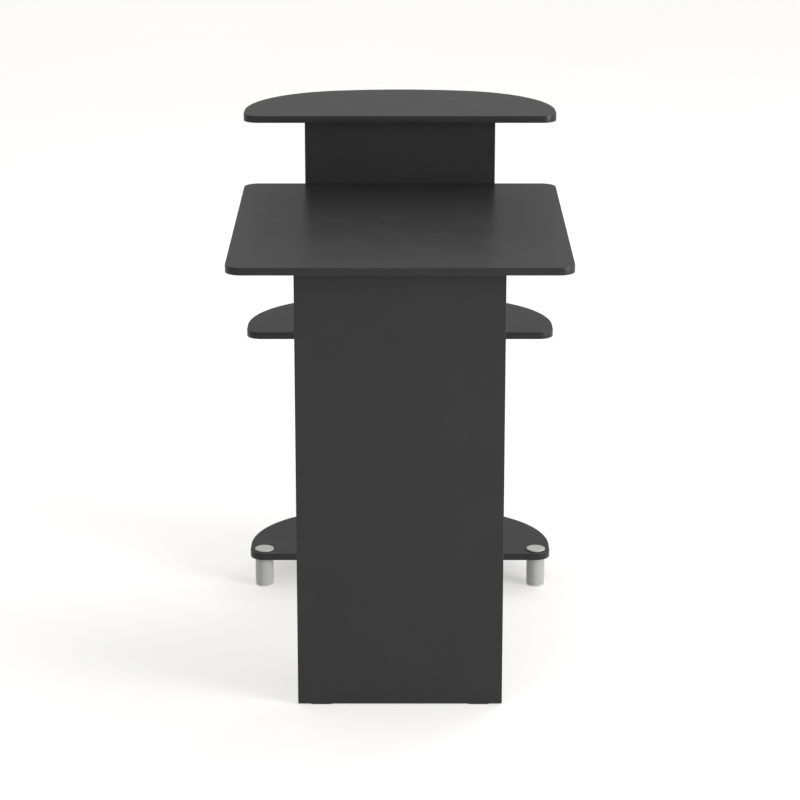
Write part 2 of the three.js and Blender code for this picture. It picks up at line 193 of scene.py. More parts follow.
def melamine_material(name, lightness, roughness):
    """Anthracite melamine: a faint mottle, fine specks, and a pearled surface."""
    material = shader_material(name, ior=1.3)
    place = object_coordinates(material)
    mottle = noise(material, place, 14, detail=4)
    fine = noise(material, place, 900, detail=2)
    tone = ramp(material, mottle, "Fac", [
        (0.3, tuple(lightness * part for part in (0.93, 0.93, 0.94))),
        (0.7, tuple(lightness * part for part in (1.05, 1.05, 1.06))),
    ])
    specks = ramp(material, fine, "Fac", [(0.3, 0.86), (0.5, 1.0), (0.72, 1.12)])
    colour = multiply(material, tone, specks)
    to_shader(material, colour, "Result", "Base Color")
    shine = scaled(material, mottle, "Fac", roughness - 0.04, roughness + 0.05)
    scuffs = noise(material, object_coordinates(material, (1, 0.07, 1)), 95, detail=5, roughness=0.6)
    worn = ramp(material, scuffs, "Fac", [(0.6, 0.0), (0.78, 0.09)])
    duller = node(material, "ShaderNodeMath", operation="ADD")
    link(material, shine, "Result", duller, 0)
    link(material, worn, "Color", duller, 1)
    to_shader(material, duller, "Value", "Roughness")
    pearl = node(material, "ShaderNodeTexVoronoi", Scale=620)
    link(material, place, "Vector", pearl, "Vector")
    bumped(material, [
        (pearl, "Distance", 0.09 * MM, 0.3),
        (fine, "Fac", 0.04 * MM, 0.35),
    ])
    return material


def plastic_material(name, colour, roughness, coat=0.0, streaks=False):
    """Moulded or extruded plastic: slight flow marks and a very fine surface grain."""
    material = shader_material(name, ior=1.46, coat=coat, coat_roughness=0.18)
    place = object_coordinates(material, (1, 1, 0.04) if streaks else (1, 1, 1))
    flow = noise(material, place, 160 if streaks else 60, detail=4)
    grain = noise(material, place, 1400, detail=2)
    tone = ramp(material, flow, "Fac", [
        (0.3, tuple(part * 0.94 for part in colour)),
        (0.7, tuple(min(part * 1.05, 1.0) for part in colour)),
    ])
    to_shader(material, tone, "Color", "Base Color")
    shine = scaled(material, flow, "Fac", roughness - 0.04, roughness + 0.06)
    to_shader(material, shine, "Result", "Roughness")
    bumped(material, [
        (flow, "Fac", 0.05 * MM, 0.2),
        (grain, "Fac", 0.02 * MM, 0.35),
    ])
    return material


def metal_material(name, colour, roughness):
    """Plated die-cast or turned steel with fine scratches and dull patches."""
    material = shader_material(name, metallic=1.0)
    place = object_coordinates(material)
    along = object_coordinates(material, (1, 0.08, 1))
    patches = noise(material, place, 130, detail=5)
    scratches = noise(material, along, 1500, detail=3, roughness=0.7)
    tone = ramp(material, patches, "Fac", [
        (0.3, tuple(part * 0.82 for part in colour)),
        (0.65, colour),
    ])
    to_shader(material, tone, "Color", "Base Color")
    shine = scaled(material, patches, "Fac", roughness - 0.08, roughness + 0.14)
    to_shader(material, shine, "Result", "Roughness")
    bumped(material, [(scratches, "Fac", 0.03 * MM, 0.4)])
    return material


def coated_steel_material():
    """Black powder coat: orange-peel bumps with a satin gloss."""
    material = shader_material("powder_coated_steel", ior=1.5, coat=0.25, coat_roughness=0.3)
    place = object_coordinates(material)
    peel = noise(material, place, 700, detail=3)
    dust = noise(material, place, 40, detail=4)
    tone = ramp(material, dust, "Fac", [
        (0.3, (0.018, 0.018, 0.02)),
        (0.75, (0.03, 0.03, 0.032)),
    ])
    to_shader(material, tone, "Color", "Base Color")
    shine = scaled(material, dust, "Fac", 0.36, 0.5)
    to_shader(material, shine, "Result", "Roughness")
    bumped(material, [(peel, "Fac", 0.08 * MM, 0.5)])
    return material


def beech_material():
    """Raw beech dowel with grain along its length."""
    material = shader_material("raw_beech", roughness=0.75)
    place = object_coordinates(material, (0.06, 1, 1))
    grain = noise(material, place, 900, detail=5)
    tone = ramp(material, grain, "Fac", [
        (0.25, (0.42, 0.25, 0.12)),
        (0.7, (0.62, 0.42, 0.23)),
    ])
    to_shader(material, tone, "Color", "Base Color")
    bumped(material, [(grain, "Fac", 0.1 * MM, 0.5)])
    return material


MELAMINE = melamine_material("anthracite_melamine", 0.0205, 0.31)
# The edge band is the same melamine painted a little darker: painted shade on the boards' edges.
EDGE_BAND = melamine_material("anthracite_edge_band", 0.0185, 0.31)
TUBE_PLASTIC = plastic_material("silver_tube", (0.31, 0.31, 0.295), 0.34, coat=0.15, streaks=True)
CAP_PLASTIC = plastic_material("grey_cap", (0.44, 0.44, 0.425), 0.34, coat=0.2)
GLIDE_PLASTIC = plastic_material("black_glide", (0.012, 0.012, 0.013), 0.5)
NYLON = plastic_material("white_nylon", (0.74, 0.73, 0.69), 0.42)
ZINC = metal_material("die_cast_zinc", (0.5, 0.51, 0.53), 0.34)
STEEL = coated_steel_material()
BEECH = beech_material()


# ---------------------------------------------------------------- mesh helpers

SHARP_ANGLE = math.radians(34)
WELD_DISTANCE = 1e-7
ON_AXIS = 1e-9  # radius below which a profile's point closes on the axis
MOST_OF_SIDE = 0.48  # share of a side that one rounding may take


def vec(x=0, y=0, z=0):
    return Vector((x, y, z))


def middle_of(name):
    """The middle of a node's box."""
    low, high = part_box(name)
    return (low + high) / 2


def mesh_object(name, vertices, faces, material, sharp=SHARP_ANGLE):
    """A smooth-shaded mesh object whose edges past the sharp angle stay crisp."""
    mesh = bpy.data.meshes.new(name)
    mesh.from_pydata([tuple(v) for v in vertices], [], faces)
    made = bmesh.new()
    made.from_mesh(mesh)
    bmesh.ops.remove_doubles(made, verts=made.verts, dist=WELD_DISTANCE)
    bmesh.ops.recalc_face_normals(made, faces=made.faces)
    made.to_mesh(mesh)
    made.free()
    mesh.shade_smooth()
    mesh.set_sharp_from_angle(angle=sharp)
    piece = bpy.data.objects.new(name, mesh)
    bpy.context.scene.collection.objects.link(piece)
    piece.data.materials.append(material)
    return piece


def lofted(name, rings, material, closed=False, sharp=SHARP_ANGLE):
    """Skins equal rings of points. The ends are capped, or joined to each other when closed."""
    count = len(rings[0])
    vertices = [point for ring in rings for point in ring]
    faces = []
    spans = len(rings) if closed else len(rings) - 1
    for level in range(spans):
        low, high = level * count, (level + 1) % len(rings) * count
        for i in range(count):
            j = (i + 1) % count
            faces.append((low + i, low + j, high + j, high + i))
    if not closed:
        faces.append(tuple(range(count)))
        faces.append(tuple((len(rings) - 1) * count + i for i in range(count)))
    return mesh_object(name, vertices, faces, material, sharp)


def turned(name, profile, material, sides):
    """A solid of revolution about Z from (radius, height) pairs.

    A profile that starts and ends on the axis is solid. Any other is joined end to start, as a ring.
    """
    vertices, rows, faces = [], [], []
    for radius, height in profile:
        if radius < ON_AXIS:
            rows.append([len(vertices)] * sides)
            vertices.append((0, 0, height))
        else:
            rows.append(list(range(len(vertices), len(vertices) + sides)))
            for i in range(sides):
                angle = 2 * math.pi * i / sides
                vertices.append((radius * math.cos(angle), radius * math.sin(angle), height))
    solid = profile[0][0] < ON_AXIS and profile[-1][0] < ON_AXIS
    pairs = list(zip(rows, rows[1:])) + ([] if solid else [(rows[-1], rows[0])])
    for low, high in pairs:
        for i in range(sides):
            j = (i + 1) % sides
            corners = dict.fromkeys((low[i], low[j], high[j], high[i]))
            if len(corners) > 2:
                faces.append(tuple(corners))
    return mesh_object(name, vertices, faces, material)


def rounded(profile, radius, steps=5):
    """A profile whose corners, the ends apart, are turned into circular arcs.

    radius is one value, or a list with one for each corner. An arc is a rational quadratic curve.
    """
    points = [Vector(p) for p in profile]
    radii = radius if isinstance(radius, list) else [radius] * (len(points) - 2)
    made = [tuple(points[0])]
    for before, corner, after, bend in zip(points, points[1:], points[2:], radii):
        first, last = before - corner, after - corner
        turn = math.pi - first.angle(last)
        weight = math.cos(turn / 2)
        shorter = min(first.length, last.length)
        reach = min(bend * math.tan(turn / 2), shorter * MOST_OF_SIDE)
        start = corner + first.normalized() * reach
        end = corner + last.normalized() * reach
        for step in range(steps + 1):
            t = step / steps
            parts = ((1 - t) ** 2, 2 * t * (1 - t) * weight, t * t)
            blend = parts[0] * start + parts[1] * corner + parts[2] * end
            made.append(tuple(blend / sum(parts)))
    made.append(tuple(points[-1]))
    return made


def aligned(direction, across=None):
    """A rotation that takes +Z to direction, and +X to across where it is given."""
    if across is None:
        return Z_AXIS.rotation_difference(direction).to_matrix().to_4x4()
    columns = (across, direction.cross(across), direction)
    return Matrix([[column[row] for column in columns] for row in range(3)]).to_4x4()


def drill_bit(start, direction, radius, depth, sides=40):
    """A cylinder from just outside a face at start, going in by depth."""
    made = bmesh.new()
    length = depth + CUT_PAST
    bmesh.ops.create_cone(
        made, cap_ends=True, segments=sides, radius1=radius, radius2=radius, depth=length
    )
    mesh = bpy.data.meshes.new("bit")
    made.to_mesh(mesh)
    made.free()
    bit = bpy.data.objects.new("bit", mesh)
    bpy.context.scene.collection.objects.link(bit)
    middle = Vector(start) + direction * (depth - CUT_PAST) / 2
    bit.matrix_world = Matrix.Translation(middle) @ aligned(direction)
    return bit


def block(low, high):
    """A temporary box to cut with."""
    xs, ys, zs = zip(low, high)
    corners = [(x, y, z) for x in xs for y in ys for z in zs]
    sides = [(0, 1, 3, 2), (4, 6, 7, 5), (0, 4, 5, 1), (2, 3, 7, 6), (0, 2, 6, 4), (1, 5, 7, 3)]
    return mesh_object("block", corners, sides, MELAMINE)


def cut(piece, tools, sharp=SHARP_ANGLE):
    """Cuts the tools out of a piece and removes them."""
    for tool in tools:
        modifier = piece.modifiers.new("cut", "BOOLEAN")
        modifier.operation = "DIFFERENCE"
        modifier.solver = "EXACT"
        modifier.object = tool
    evaluated = piece.evaluated_get(bpy.context.evaluated_depsgraph_get())
    mesh = bpy.data.meshes.new_from_object(evaluated)
    piece.modifiers.clear()
    piece.data = mesh
    mesh.shade_smooth()
    mesh.set_sharp_from_angle(angle=sharp)
    for tool in tools:
        bpy.data.objects.remove(tool)


def finish_piece(piece, body, stands_for=None):
    """Attaches a piece, already in place, to its body, and hides the node that it stands for."""
    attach(piece, body)
    if stands_for is not None:
        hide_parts(stands_for)


# ---------------------------------------------------------------- board outlines


def arc(centre, radius, start, end, steps):
    """Points along an arc, without its last one."""
    angles = [start + (end - start) * i / steps for i in range(steps)]
    return [(centre[0] + radius * math.cos(a), centre[1] + radius * math.sin(a)) for a in angles]


def closed_arc(centre, radius, start, end, steps):
    """Points along an arc, with its last one."""
    return arc(centre, radius, start, end, steps) + arc(centre, radius, end, start, 1)


def rectangle_outline(width, height, corner, inset, steps=12):
    """A rectangle with round corners about the origin, its edge moved in by inset."""
    points = []
    signs = ((1, 1), (-1, 1), (-1, -1), (1, -1))
    for quarter, (sx, sy) in enumerate(signs):
        centre = (sx * (width / 2 - corner), sy * (height / 2 - corner))
        start = quarter * math.pi / 2
        points += closed_arc(centre, corner - inset, start, start + math.pi / 2, steps)
    return points


def shelf_outline(depth, width, inset):
    """The D: a straight edge on x = 0, tight corners, side arcs, and the flatter arc of the apex."""
    half = width / 2
    side_y = half - SHELF_SIDE_RADIUS
    apex_x = depth - SHELF_APEX_RADIUS
    between = SHELF_APEX_RADIUS - SHELF_SIDE_RADIUS
    side_x = apex_x + math.sqrt(between**2 - side_y**2)
    join = math.asin(side_y / between)
    corner, quarter = SHELF_CORNER, math.pi / 2
    corner_steps, side_steps, apex_steps = 16, 48, 40
    points = closed_arc((corner, corner - half), corner - inset, 2 * quarter, 3 * quarter, corner_steps)
    points += arc((side_x, -side_y), SHELF_SIDE_RADIUS - inset, -quarter, -join, side_steps)
    points += arc((apex_x, 0), SHELF_APEX_RADIUS - inset, -join, join, apex_steps)
    points += closed_arc((side_x, side_y), SHELF_SIDE_RADIUS - inset, join, quarter, side_steps)
    points += closed_arc((corner, half - corner), corner - inset, quarter, 2 * quarter, corner_steps)
    return points


# ---------------------------------------------------------------- boards


def placed_ring(outline, height, matrix):
    return [matrix @ Vector((x, y, height)) for x, y in outline]


def board(name, outline, thickness, matrix, body, holes):
    """A melamine core inside a rounded edge band. outline gives the board's edge for an inset."""
    half = thickness / 2
    core_inset = BAND_THICKNESS + BAND_SEAM
    levels = [
        (core_inset + CORE_CHAMFER, -half),
        (core_inset, -half + CORE_CHAMFER),
        (core_inset, half - CORE_CHAMFER),
        (core_inset + CORE_CHAMFER, half),
    ]
    rings = [placed_ring(outline(inset), height, matrix) for inset, height in levels]
    core = lofted(name + "_core", rings, MELAMINE)

    rim = []
    for step in range(BAND_ROUNDING_STEPS + 1):
        turn = step / BAND_ROUNDING_STEPS * math.pi / 2
        inset = BAND_ROUNDING * (1 - math.sin(turn))
        rim.append((inset, half - BAND_ROUNDING * (1 - math.cos(turn))))
    profile = [(BAND_THICKNESS, half), *rim]
    profile += [(inset, -height) for inset, height in reversed(profile)]
    rings = [placed_ring(outline(inset), height, matrix) for inset, height in profile]
    band = lofted(name + "_edge_band", rings, EDGE_BAND, closed=True)

    if holes:
        cut(core, [drill_bit(*hole) for hole in holes])
    across = matrix.col[2].xyz
    through_edge = [hole for hole in holes if abs(hole[1].dot(across)) < 0.5]
    if through_edge:
        cut(band, [drill_bit(*hole) for hole in through_edge])
    finish_piece(core, body, name)
    finish_piece(band, body)


# Orientation of a board: outline x, outline y and thickness directions in the desk's frame.
FLAT = Matrix.Identity(3)
UPRIGHT_ALONG_Y = Matrix([[0, 0, 1], [1, 0, 0], [0, 1, 0]])  # thickness along X
UPRIGHT_ALONG_X = Matrix([[-1, 0, 0], [0, 0, 1], [0, 1, 0]])  # thickness along Y


def rectangular_board(name, orientation, corner, body, holes):
    low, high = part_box(name)
    size = high - low
    width, height, thickness = (abs(part) for part in orientation.transposed() @ size)
    matrix = Matrix.Translation(middle_of(name)) @ orientation.to_4x4()

    def outline(inset):
        return rectangle_outline(width, height, corner, inset)

    board(name, outline, thickness, matrix, body, holes)


def shelf_board(name, holes):
    low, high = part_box(name)
    depth, width, thickness = high - low
    place = middle_of(name)
    place.x = low.x
    matrix = Matrix.Translation(place)

    def outline(inset):
        return shelf_outline(depth, width, inset)

    board(name, outline, thickness, matrix, "frame", holes)


# ---------------------------------------------------------------- drillings


# Each cam joint: the board with the cam, the board with the pilot hole, the bolt's way, the cam's face.
CAM_JOINTS = {
    "end_panel": ("end_panel", "desktop", vec(z=1), vec(x=1)),
    "desktop": ("desktop", "upper_centre_panel", vec(x=1), vec(z=-1)),
    "top_shelf": ("upper_centre_panel", "top_shelf", vec(z=1), vec(x=1)),
    "bottom_shelf": ("lower_centre_panel", "bottom_shelf", vec(z=-1), vec(x=1)),
    "middle_upper": ("upper_centre_panel", "middle_shelf", vec(z=-1), vec(x=1)),
    "middle_lower": ("lower_centre_panel", "middle_shelf", vec(z=1), vec(x=1)),
}
MODESTY_JOINTS = {
    "modesty_end": ("modesty_panel", "end_panel", vec(x=-1), vec(y=1)),
    "modesty_centre": ("modesty_panel", "upper_centre_panel", vec(x=1), vec(y=1)),
}
SIDES = ("front", "back")


def all_cams():
    """(cam node, its joint's entry) for every cam."""
    cams = []
    for joint, entry in CAM_JOINTS.items():
        cams += [(f"cam_{joint}_{side}", entry) for side in SIDES]
    return cams + [(f"cam_{joint}", entry) for joint, entry in MODESTY_JOINTS.items()]


def cam_place(cam, face):
    """The middle of a cam's head, on the board's face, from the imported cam."""
    low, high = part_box(cam)
    half_depth = abs((high - low).dot(face)) / 2
    return middle_of(cam) + face * (half_depth + CAM_SINKING)


def drillings():
    """Board name to its holes, as drill_bit arguments."""
    holes = {}
    for cam, (board_name, mate, bolt, face) in all_cams():
        head = cam_place(cam, face)
        low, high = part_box(board_name)
        thickness = min(high - low)
        meet = head - face * thickness / 2 + bolt * CAM_SETBACK
        holes.setdefault(board_name, []).append((head, -face, CAM_POCKET_RADIUS, CAM_POCKET_DEPTH))
        holes[board_name].append((meet, -bolt, BOLT_CHANNEL_RADIUS, CAM_SETBACK))
        if mate != "middle_shelf":
            holes.setdefault(mate, []).append((meet, bolt, PILOT_RADIUS, PILOT_DEPTH))
        elif bolt.z < 0:  # one channel for the bolt that serves both panels
            through = (meet, bolt, BOLT_CHANNEL_RADIUS, thickness + CUT_PAST)
            holes.setdefault(mate, []).append(through)
    in_end, in_face = DOWEL_HOLE_DEPTHS
    for joint, (board_name, mate, outward, _) in MODESTY_JOINTS.items():
        panel_low, panel_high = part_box(board_name)
        meet = middle_of("dowel_" + joint)
        meet.x = panel_high.x if outward.x > 0 else panel_low.x
        holes[board_name].append((meet, -outward, DOWEL_HOLE_RADIUS, in_end))
        holes[mate].append((meet, outward, DOWEL_HOLE_RADIUS, in_face))
    shelf_low, shelf_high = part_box("bottom_shelf")
    through = shelf_high.z - shelf_low.z + CUT_PAST
    for foot in FEET:
        cap = middle_of("foot_cap_" + foot)
        cap.z = shelf_high.z
        holes["bottom_shelf"].append((cap, -Z_AXIS, FOOT_HOLE_RADIUS, through))
    return holes


# ---------------------------------------------------------------- feet and glides

FEET = ("front", "back", "apex")
FOOT_WALL = 2 * MM
FOOT_SIDES = 96
PLUG_CLEARANCE = 0.4 * MM
PLUG_LEAD = 2 * MM  # length of the taper at a plug's end
CAP_DISH = 0.4 * MM
BASE_WALL = 2 * MM
BASE_FLOOR = 3 * MM
GLIDE_RECESS_RADIUS = 2.6 * MM
GLIDE_RECESS_DEPTH = 1 * MM


def foot_tube(foot, inner, outer):
    """A tube with softened rims. Its profile starts and ends halfway up the bore."""
    low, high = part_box("foot_tube_" + foot)
    middle = (low.z + high.z) / 2
    profile = rounded([
        (inner, middle),
        (inner, low.z),
        (outer, low.z),
        (outer, high.z),
        (inner, high.z),
        (inner, middle + 0.1 * MM),
    ], 0.7 * MM)
    return turned(f"foot_tube_{foot}_shell", profile, TUBE_PLASTIC, sides=FOOT_SIDES)


def foot_cap(foot, plug):
    """A slightly dished cap on the shelf, with a plug that goes down into the tube."""
    low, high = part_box("foot_cap_" + foot)
    radius = (high.x - low.x) / 2
    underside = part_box("bottom_shelf")[1].z + SNUG  # of the cap's rim, on the shelf's top
    profile = rounded([
        (0, low.z),
        (plug * 0.9, low.z),
        (plug, low.z + PLUG_LEAD),
        (plug, underside),
        (radius, underside),
        (radius, high.z),
        (radius * 0.6, high.z),
        (0, high.z - CAP_DISH),
    ], 1.1 * MM, steps=6)
    return turned(f"foot_cap_{foot}_disc", profile, CAP_PLASTIC, sides=FOOT_SIDES)


def foot_base(foot, plug, top):
    """The cup-shaped plastic end that the tube stands on."""
    low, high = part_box("foot_base_" + foot)
    radius = (high.x - low.x) / 2
    bore = plug - BASE_WALL
    floor = low.z + BASE_FLOOR
    profile = rounded([
        (0, low.z),
        (radius, low.z),
        (radius, top),
        (plug, top),
        (plug, high.z),
        (bore, high.z),
        (bore, floor),
        (0, floor),
    ], 0.8 * MM)
    return turned(f"foot_base_{foot}_plug", profile, CAP_PLASTIC, sides=FOOT_SIDES)


def foot_pieces(foot):
    low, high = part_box("foot_tube_" + foot)
    outer = (high.x - low.x) / 2
    inner = outer - FOOT_WALL
    plug = inner - PLUG_CLEARANCE
    tube = foot_tube(foot, inner, outer)
    cap = foot_cap(foot, plug)
    base = foot_base(foot, plug, low.z - SNUG)
    place = Matrix.Translation(((low.x + high.x) / 2, (low.y + high.y) / 2, 0))
    for piece in (tube, cap, base):
        piece.matrix_world = place
    finish_piece(tube, "frame", "foot_tube_" + foot)
    finish_piece(cap, "frame", "foot_cap_" + foot)
    finish_piece(base, "frame", "foot_base_" + foot)


def glide_pieces(side):
    """A rounded stadium pad, held by a nail in a recess in its underside."""
    name = "end_glide_" + side
    low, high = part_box(name)
    width, length = high.x - low.x, high.y - low.y
    panel_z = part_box("end_panel")[0].z
    place = Matrix.Translation(((low.x + high.x) / 2, (low.y + high.y) / 2, 0))
    # (inset, height) in mm round the pad's lower rim, then (radius, height) in mm for the nail's head
    edge = [(0.9, 0), (0.45, 0.12), (0.12, 0.45), (0, 0.9)]
    nail_head = [(0, 0.3), (1.2, 0.4), (2.1, 0.75), (2.1, 0.95), (0, 0.95)]
    levels = [(inset * MM, height * MM) for inset, height in edge] + [(0, panel_z - SNUG)]
    rings = []
    for inset, height in levels:
        outline = rectangle_outline(width, length, width / 2 - SNUG, inset, steps=10)
        rings.append(placed_ring(outline, height, place))
    pad = lofted(name + "_pad", rings, GLIDE_PLASTIC)
    cut(pad, [drill_bit(place.translation, Z_AXIS, GLIDE_RECESS_RADIUS, GLIDE_RECESS_DEPTH)])
    finish_piece(pad, "frame", name)
    nail = turned(name + "_nail", [(r * MM, h * MM) for r, h in nail_head], ZINC, sides=32)
    nail.matrix_world = place
    finish_piece(nail, "frame")


# ---------------------------------------------------------------- cams

CAM_RADIUS = 5.7 * MM
CAM_DEPTH = 9.4 * MM
CAM_RIM = 0.2 * MM  # rim below the board's face
CAM_FLOOR = 0.45 * MM  # flat top, inside the rim
CAM_SLOT_ARM = 2.7 * MM
CAM_SLOT_HALF = 0.65 * MM
CAM_SLOT_DEPTH = 3 * MM
CAM_MOUTH_RADIUS = 3.9 * MM
CAM_MOUTH_START = 9 * MM
CAM_MOUTH_DEPTH = 12.4 * MM


def cam_piece(cam, bolt, face):
    """A die-cast cam: domed rim, cross recess, a pointer to its bolt, and the bolt's mouth."""
    radius, depth = CAM_RADIUS, CAM_DEPTH
    profile = rounded([
        (0, -depth),
        (radius, -depth),
        (radius, -CAM_RIM),
        (radius - 1.2 * MM, -CAM_RIM),
        (radius - 1.4 * MM, -CAM_FLOOR),
        (0, -CAM_FLOOR),
    ], 0.35 * MM, steps=4)
    piece = turned(cam + "_zinc", profile, ZINC, sides=48)
    arm, half, bottom = CAM_SLOT_ARM, CAM_SLOT_HALF, -CAM_SLOT_DEPTH
    recess = [
        block((-arm, -half, bottom), (arm, half, CUT_PAST)),
        block((-half, -arm, bottom), (half, arm, CUT_PAST)),
    ]
    pointer = drill_bit((3.6 * MM, 0, 0), -Z_AXIS, 0.55 * MM, 0.9 * MM, sides=3)
    bolt_axis = vec(CAM_MOUTH_START, 0, -6 * MM)
    mouth = drill_bit(bolt_axis, -X_AXIS, CAM_MOUTH_RADIUS, CAM_MOUTH_DEPTH)
    cut(piece, [*recess, pointer, mouth])
    head = cam_place(cam, face)
    piece.matrix_world = Matrix.Translation(head) @ aligned(face, bolt)
    finish_piece(piece, "frame", cam)


# ---------------------------------------------------------------- keyboard slides

ENDS = (("end", 1), ("centre", -1))  # the wall that a slide is on, and the way that wall looks along X
SHEET = 1.25 * MM
BEND = 1.7 * MM  # outer radius of the sheet's folds
FOLD_LEFT = 0.3 * MM  # stub of a flange left at its fold where it is cut away
ROLLER_ROOM = 20 * MM  # length of flange cut away beside a roller
AXLE_HOLE_RADIUS = 2.15 * MM
SCREW_HOLE_RADIUS = 1.9 * MM
SPARE_HOLE_RADIUS = 1.6 * MM
SPARE_HOLE_SPACING = 9 * MM  # from the screw hole that it belongs to
DRILL_DEPTH = 5 * MM  # through a sheet, with room to spare
SCREW_SHARES = {"outer": (0.16, 0.52, 0.88), "inner": (0.1, 0.5, 0.9)}  # along the rail's length
SCREW_RADIUS = 3.1 * MM
SCREW_HEIGHT = 1 * MM
SCREW_NECK_RADIUS = 1.3 * MM
SCREW_NECK = 1.1 * MM
SEAT_GAP = 0.02 * MM  # between a screw's head and its rail
RAIL_SHARPNESS = math.radians(50)
ROLLER_HUB_RADIUS = 3.9 * MM
ROLLER_RIM = 1.1 * MM  # width of the flat rim round the dish
ROLLER_DISH = 0.7 * MM
DISH_SLOPE = 0.4 * MM
AXLE_RADIUS = 2.05 * MM
AXLE_HEAD_RADIUS = 3.5 * MM
AXLE_HEAD_DEPTH = 0.75 * MM


def folded(points):
    """The section of a folded sheet that lies to the left of the path through the points."""
    corners = [Vector(p) for p in points]
    radii = []
    for before, corner, after in zip(corners, corners[1:], corners[2:]):
        turns_left = (corner - before).cross(after - corner) > 0
        radii.append(BEND if turns_left else BEND - SHEET)
    path = [Vector(p) for p in rounded(points, radii, steps=6)]
    other = []
    for i, point in enumerate(path):
        before, after = path[max(i - 1, 0)], path[min(i + 1, len(path) - 1)]
        along = (point - before).normalized() + (after - point).normalized()
        normal = Vector((-along.y, along.x)).normalized()
        straight = (after - point) if i < len(path) - 1 else (point - before)
        lean = normal.dot(Vector((-straight.y, straight.x)).normalized())
        other.append(point + normal * SHEET / lean)
    return [*path, *reversed(other)]


def rail_piece(name, section, wall_x, towards, base_z):
    """A rail from its section of (distance from the wall, height above base_z) points."""
    low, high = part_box(name)
    rings = []
    for y in (low.y, high.y):
        rings.append([(wall_x + towards * out, y, base_z + up) for out, up in section])
    return lofted(name + "_steel", rings, STEEL, sharp=RAIL_SHARPNESS)


def slide_block(wall_x, towards, outs, ys, zs):
    """A cutting box given by its distances from the slide's wall."""
    xs = sorted(wall_x + towards * out for out in outs)
    return block((xs[0], ys[0], zs[0]), (xs[1], ys[1], zs[1]))


def along_rail(name, shares):
    low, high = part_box(name)
    return [low.y + share * (high.y - low.y) for share in shares]


def screw_piece(name, place, direction, body):
    """A pan-head screw's head and neck, with a cross recess."""
    radius, height = SCREW_RADIUS, SCREW_HEIGHT
    profile = rounded([
        (0, -SCREW_NECK),
        (SCREW_NECK_RADIUS, -SCREW_NECK),
        (SCREW_NECK_RADIUS, 0),
        (radius, 0),
        (radius, height * 0.45),
        (radius * 0.62, height),
        (0, height),
    ], 0.5 * MM, steps=4)
    piece = turned(name, profile, ZINC, sides=32)
    arm, half, bottom, above = 1.5 * MM, 0.33 * MM, 0.2 * MM, 3 * MM
    cut(piece, [
        block((-arm, -half, bottom), (arm, half, above)),
        block((-half, -arm, bottom), (half, arm, above)),
    ])
    piece.matrix_world = Matrix.Translation(place) @ aligned(direction)
    finish_piece(piece, body)


def outer_rail_piece(end, towards, wall_x, tray_under):
    """A channel on the wall, open to the tray, with its lower flange cut away under the front roller."""
    name = "outer_rail_" + end
    low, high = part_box(name)
    way = vec(x=towards)
    reach = high.x - low.x
    floor, top = low.z - tray_under, high.z - tray_under
    section = folded([(reach, top), (0, top), (0, floor), (reach, floor)])
    rail = rail_piece(name, section, wall_x, towards, tray_under)
    drilled_from = wall_x + towards * 2 * MM
    flange_outs = (SHEET + FOLD_LEFT, reach + CUT_PAST)
    flange_end = (low.y - CUT_PAST, low.y + ROLLER_ROOM)
    flange_zs = (low.z - CUT_PAST, tray_under + 1 * MM)
    axle = middle_of("front_roller_" + end)
    axle.x = drilled_from
    tools = [
        slide_block(wall_x, towards, flange_outs, flange_end, flange_zs),
        drill_bit(axle, -way, AXLE_HOLE_RADIUS, DRILL_DEPTH),
    ]
    hole_z = (low.z + high.z) / 2
    screw_ys = along_rail(name, SCREW_SHARES["outer"])
    for y in screw_ys:
        hole = vec(drilled_from, y, hole_z)
        spare = vec(drilled_from, y + SPARE_HOLE_SPACING, hole_z)
        tools.append(drill_bit(hole, -way, SCREW_HOLE_RADIUS, DRILL_DEPTH, sides=24))
        tools.append(drill_bit(spare, -way, SPARE_HOLE_RADIUS, DRILL_DEPTH, sides=24))
    cut(rail, tools, RAIL_SHARPNESS)
    finish_piece(rail, "frame", name)
    for i, y in enumerate(screw_ys):
        seat = vec(wall_x + towards * (SHEET + SEAT_GAP), y, hole_z)
        screw_piece(f"outer_rail_screw_{end}_{i + 1}", seat, way, "frame")


def inner_rail_piece(end, towards, wall_x, tray_under):
    """A rail with a lip under the tray and a top flange, cut away at the back over the rear roller."""
    name = "inner_rail_" + end
    low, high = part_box(name)
    way = vec(x=towards)
    outs = sorted(abs(x - wall_x) for x in (low.x, high.x))
    web = abs(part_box("keyboard_tray")[0].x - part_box("end_panel")[1].x)
    lip, top = low.z - tray_under, high.z - tray_under
    inside, under = web - SHEET, top - SHEET
    section = folded([(outs[0], under), (inside, under), (inside, lip), (outs[1], lip)])
    rail = rail_piece(name, section, wall_x, towards, tray_under)
    flange_outs = (1 * MM, web - SHEET - FOLD_LEFT)
    flange_end = (high.y - ROLLER_ROOM, high.y + CUT_PAST)
    flange_zs = (high.z - 3 * MM, high.z + CUT_PAST)
    axle = middle_of("rear_roller_" + end)
    axle.x = wall_x + towards * (web + 1 * MM)
    tools = [
        slide_block(wall_x, towards, flange_outs, flange_end, flange_zs),
        drill_bit(axle, -way, AXLE_HOLE_RADIUS, DRILL_DEPTH),
    ]
    lip_x = wall_x + towards * (web + outs[1]) / 2
    screw_ys = along_rail(name, SCREW_SHARES["inner"])
    for y in screw_ys:
        hole = vec(lip_x, y, low.z - 0.5 * MM)
        tools.append(drill_bit(hole, Z_AXIS, SCREW_HOLE_RADIUS, DRILL_DEPTH, sides=24))
    cut(rail, tools, RAIL_SHARPNESS)
    finish_piece(rail, "tray", name)
    for i, y in enumerate(screw_ys):
        seat = vec(lip_x, y, low.z - SEAT_GAP)
        screw_piece(f"inner_rail_screw_{end}_{i + 1}", seat, -Z_AXIS, "tray")


